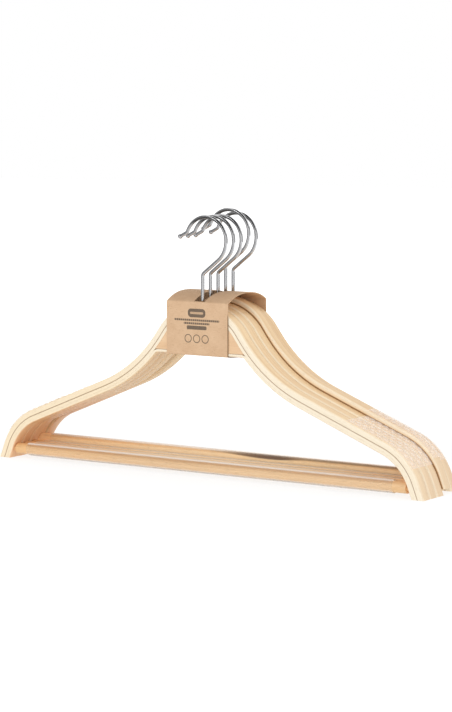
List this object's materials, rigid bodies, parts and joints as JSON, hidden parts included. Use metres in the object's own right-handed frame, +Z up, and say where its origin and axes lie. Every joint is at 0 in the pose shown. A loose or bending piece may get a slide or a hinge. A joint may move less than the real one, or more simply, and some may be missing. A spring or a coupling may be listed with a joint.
{
  "type": "wooden clothes hanger bundle",
  "caption": "Bundle of bent-ply wooden clothes hangers with trouser rods, clear shoulder pads and turning wire hooks, held round the necks by a folded kraft paper sleeve.",
  "frame": {"origin": "on the floor under the middle of the bundle, which stands on the cut ends of its front three hangers' arms", "axes": "+X along the hangers to the right, +Y from the front hanger to the back one, +Z up"},
  "size_m": [0.4512, 0.0618, 0.2367],
  "materials": {
    "ply_wood": "pale birch veneer, clear matt lacquer, paler cut edges",
    "block_wood": "plain pale wood, lacquered",
    "rod_wood": "turned round rod, satin lacquer",
    "clear_tube": "clear glossy soft plastic tube",
    "clear_pad": "clear soft plastic with small round nubs",
    "plated_wire": "bright nickel or chrome plated steel wire",
    "bush_steel": "plain zinc plated steel",
    "kraft_paper": null
  },
  "bodies": {
    "bundle": {"upper_ply_1": "ply_wood", "arch_ply_1": "ply_wood", "bottom_ply_1": "ply_wood", "centre_block_1": "block_wood", "hook_bush_1": "bush_steel", "trouser_rod_1": "rod_wood", "rod_tube_1": "clear_tube", "pad_left_1": "clear_pad", "pad_right_1": "clear_pad", "upper_ply_2": "ply_wood", "arch_ply_2": "ply_wood", "bottom_ply_2": "ply_wood", "centre_block_2": "block_wood", "hook_bush_2": "bush_steel", "trouser_rod_2": "rod_wood", "rod_tube_2": "clear_tube", "pad_left_2": "clear_pad", "pad_right_2": "clear_pad", "upper_ply_3": "ply_wood", "arch_ply_3": "ply_wood", "bottom_ply_3": "ply_wood", "centre_block_3": "block_wood", "hook_bush_3": "bush_steel", "trouser_rod_3": "rod_wood", "rod_tube_3": "clear_tube", "pad_left_3": "clear_pad", "pad_right_3": "clear_pad", "upper_ply_4": "ply_wood", "arch_ply_4": "ply_wood", "bottom_ply_4": "ply_wood", "centre_block_4": "block_wood", "hook_bush_4": "bush_steel", "trouser_rod_4": "rod_wood", "rod_tube_4": "clear_tube", "pad_left_4": "clear_pad", "pad_right_4": "clear_pad", "upper_ply_5": "ply_wood", "arch_ply_5": "ply_wood", "bottom_ply_5": "ply_wood", "centre_block_5": "block_wood", "hook_bush_5": "bush_steel", "trouser_rod_5": "rod_wood", "rod_tube_5": "clear_tube", "pad_left_5": "clear_pad", "pad_right_5": "clear_pad", "paper_sleeve": "kraft_paper"},
    "hook_body_1": {"hook_1": "plated_wire"},
    "hook_body_2": {"hook_2": "plated_wire"},
    "hook_body_3": {"hook_3": "plated_wire"},
    "hook_body_4": {"hook_4": "plated_wire"},
    "hook_body_5": {"hook_5": "plated_wire"}
  },
  "joints": [
    {"name": "hook_turn_1", "type": "hinge", "parent": "bundle", "child": "hook_body_1", "pos_m": [0, -0.0242, 0.13], "axis": [0, 0, 1], "range_deg": [-15, 15]},
    {"name": "hook_turn_2", "type": "hinge", "parent": "bundle", "child": "hook_body_2", "pos_m": [0, -0.0121, 0.13], "axis": [0, 0, 1], "range_deg": [-15, 15]},
    {"name": "hook_turn_3", "type": "hinge", "parent": "bundle", "child": "hook_body_3", "pos_m": [0, 0, 0.13], "axis": [0, 0, 1], "range_deg": [-15, 15]},
    {"name": "hook_turn_4", "type": "hinge", "parent": "bundle", "child": "hook_body_4", "pos_m": [0, 0.0121, 0.13], "axis": [0, 0, 1], "range_deg": [-15, 15]},
    {"name": "hook_turn_5", "type": "hinge", "parent": "bundle", "child": "hook_body_5", "pos_m": [0, 0.0242, 0.13], "axis": [0, 0, 1], "range_deg": [-15, 15]}
  ]
}
